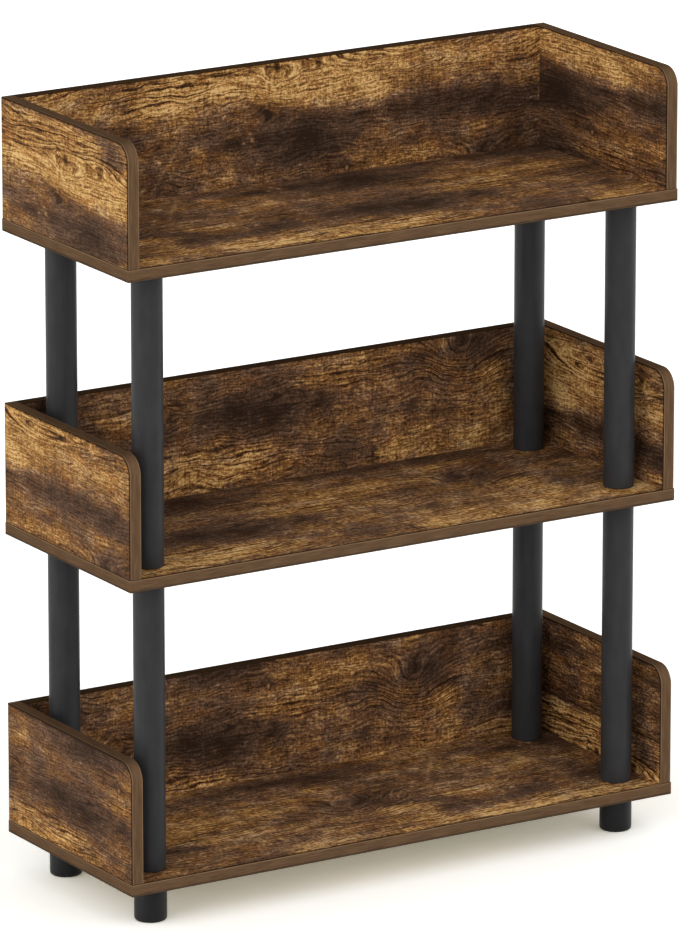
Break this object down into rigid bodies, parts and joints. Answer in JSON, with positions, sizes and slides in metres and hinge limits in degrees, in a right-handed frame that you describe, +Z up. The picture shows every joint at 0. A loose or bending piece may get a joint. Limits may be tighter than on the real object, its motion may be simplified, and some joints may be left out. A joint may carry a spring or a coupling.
{
  "type": "display rack",
  "caption": "Open display rack of shallow wood-print trays with low side and back panels, stacked on round black tubes and short feet.",
  "frame": {"origin": "on the floor, under the middle of the rack's footprint", "axes": "+X to the rack's right as seen from its open front, +Y to its back panels, +Z up"},
  "size_m": [0.6, 0.233, 0.7525],
  "materials": {
    "laminate_along_length": "satin rustic wood-print laminate, grain along the board's length",
    "laminate_along_depth": "satin rustic wood-print laminate, grain along the panel's depth",
    "edge_band": "plain olive-brown edge band, faint lengthwise lines",
    "tube_plastic": "satin black",
    "foot_plastic": "satin black",
    "plug_plastic": "moulded black",
    "screw_steel": "zinc plated",
    "insert_steel": "zinc plated",
    "dowel_wood": "plain beech"
  },
  "bodies": {
    "root": {"bottom_board": "laminate_along_length", "bottom_board_edge_band": "edge_band", "bottom_left_side_panel": "laminate_along_depth", "bottom_left_side_edge_band": "edge_band", "bottom_right_side_panel": "laminate_along_depth", "bottom_right_side_edge_band": "edge_band", "bottom_back_panel": "laminate_along_length", "bottom_back_edge_band": "edge_band", "bottom_tray_screws": "screw_steel", "bottom_tray_dowels": "dowel_wood", "middle_board": "laminate_along_length", "middle_board_edge_band": "edge_band", "middle_left_side_panel": "laminate_along_depth", "middle_left_side_edge_band": "edge_band", "middle_right_side_panel": "laminate_along_depth", "middle_right_side_edge_band": "edge_band", "middle_back_panel": "laminate_along_length", "middle_back_edge_band": "edge_band", "middle_tray_screws": "screw_steel", "middle_tray_dowels": "dowel_wood", "top_board": "laminate_along_length", "top_board_edge_band": "edge_band", "top_left_side_panel": "laminate_along_depth", "top_left_side_edge_band": "edge_band", "top_right_side_panel": "laminate_along_depth", "top_right_side_edge_band": "edge_band", "top_back_panel": "laminate_along_length", "top_back_edge_band": "edge_band", "top_tray_screws": "screw_steel", "top_tray_dowels": "dowel_wood", "front_left_foot": "foot_plastic", "lower_front_left_tube": "tube_plastic", "lower_front_left_socket_plug": "plug_plastic", "lower_front_left_stud_plug": "plug_plastic", "upper_front_left_tube": "tube_plastic", "upper_front_left_socket_plug": "plug_plastic", "upper_front_left_stud_plug": "plug_plastic", "front_right_foot": "foot_plastic", "lower_front_right_tube": "tube_plastic", "lower_front_right_socket_plug": "plug_plastic", "lower_front_right_stud_plug": "plug_plastic", "upper_front_right_tube": "tube_plastic", "upper_front_right_socket_plug": "plug_plastic", "upper_front_right_stud_plug": "plug_plastic", "rear_left_foot": "foot_plastic", "lower_rear_left_tube": "tube_plastic", "lower_rear_left_socket_plug": "plug_plastic", "lower_rear_left_stud_plug": "plug_plastic", "upper_rear_left_tube": "tube_plastic", "upper_rear_left_socket_plug": "plug_plastic", "upper_rear_left_stud_plug": "plug_plastic", "rear_right_foot": "foot_plastic", "lower_rear_right_tube": "tube_plastic", "lower_rear_right_socket_plug": "plug_plastic", "lower_rear_right_stud_plug": "plug_plastic", "upper_rear_right_tube": "tube_plastic", "upper_rear_right_socket_plug": "plug_plastic", "upper_rear_right_stud_plug": "plug_plastic", "top_board_thread_inserts": "insert_steel"}
  },
  "joints": []
}
